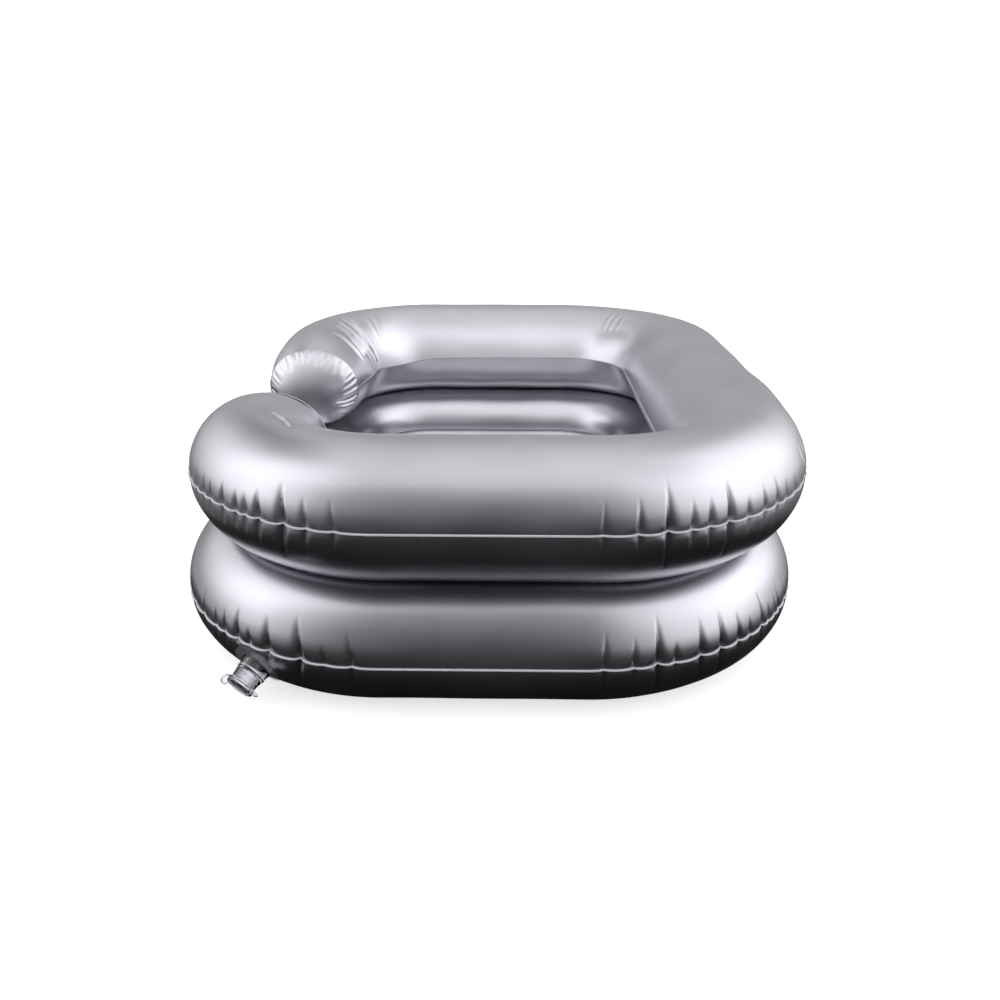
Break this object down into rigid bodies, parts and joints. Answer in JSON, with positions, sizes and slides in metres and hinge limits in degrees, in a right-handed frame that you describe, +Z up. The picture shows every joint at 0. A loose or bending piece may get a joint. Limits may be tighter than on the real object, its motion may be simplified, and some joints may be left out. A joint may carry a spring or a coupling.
{
  "type": "portable shampoo basin",
  "caption": "Inflatable basin of two stacked air rings; the upper ring is open at the neck, and a welded floor sheet with a drain closes the lower one.",
  "frame": {"origin": "centre of the basin's footprint, on the surface that it stands on", "axes": "+Z up, +Y along the basin's longest side, -X towards the neck gap"},
  "size_m": [0.507, 0.605, 0.19],
  "materials": {
    "grey_pvc": "pearly silver-grey, satin gloss",
    "clear_pvc": "clear and glossy"
  },
  "bodies": {
    "basin": {"upper_ring_top_sheet": "grey_pvc", "upper_ring_bottom_sheet": "grey_pvc", "front_arm_cap": "grey_pvc", "back_arm_cap": "grey_pvc", "lower_ring_top_sheet": "grey_pvc", "lower_ring_bottom_sheet": "grey_pvc", "basin_floor_sheet": "grey_pvc", "lower_valve_patch": "clear_pvc", "upper_valve_patch": "clear_pvc", "drain_outlet": "clear_pvc", "drain_tether": "clear_pvc"},
    "lower_valve_stem": {"lower_valve_neck": "clear_pvc", "lower_valve_tether": "clear_pvc"},
    "lower_valve_stopper": {"lower_valve_plug": "clear_pvc"},
    "lower_valve_check": {"lower_valve_flap": "clear_pvc"},
    "upper_valve_stem": {"upper_valve_neck": "clear_pvc", "upper_valve_tether": "clear_pvc"},
    "upper_valve_stopper": {"upper_valve_plug": "clear_pvc"},
    "upper_valve_check": {"upper_valve_flap": "clear_pvc"},
    "drain_stopper": {"drain_plug": "clear_pvc"}
  },
  "joints": [
    {"name": "lower_valve_push_in", "type": "slide", "parent": "basin", "child": "lower_valve_stem", "axis": [-0.4776, -0.7764, -0.4112], "range_m": [-0.012, 0]},
    {"name": "lower_valve_unplug", "type": "slide", "parent": "lower_valve_stem", "child": "lower_valve_stopper", "axis": [-0.4776, -0.7764, -0.4112], "range_m": [0, 0.014], "deforming": ["lower_valve_tether"]},
    {"name": "lower_valve_flap_hinge", "type": "hinge", "parent": "lower_valve_stem", "child": "lower_valve_check", "pos_m": [-0.15852, -0.26089, 0.01902], "axis": [-0.8517, 0.524, 0], "range_deg": [0, 55], "stiffness_Nm_per_rad": 0.0005},
    {"name": "upper_valve_push_in", "type": "slide", "parent": "basin", "child": "upper_valve_stem", "axis": [-0.4852, 0.7886, -0.3778], "range_m": [-0.012, 0]},
    {"name": "upper_valve_unplug", "type": "slide", "parent": "upper_valve_stem", "child": "upper_valve_stopper", "axis": [-0.4852, 0.7886, -0.3778], "range_m": [0, 0.014], "deforming": ["upper_valve_tether"]},
    {"name": "upper_valve_flap_hinge", "type": "hinge", "parent": "upper_valve_stem", "child": "upper_valve_check", "pos_m": [-0.14952, 0.25602, 0.11305], "axis": [0.8517, 0.524, 0], "range_deg": [0, 55], "stiffness_Nm_per_rad": 0.0005},
    {"name": "drain_unplug", "type": "slide", "parent": "basin", "child": "drain_stopper", "axis": [0, 0, 1], "range_m": [0, 0.014], "deforming": ["drain_tether"]}
  ]
}
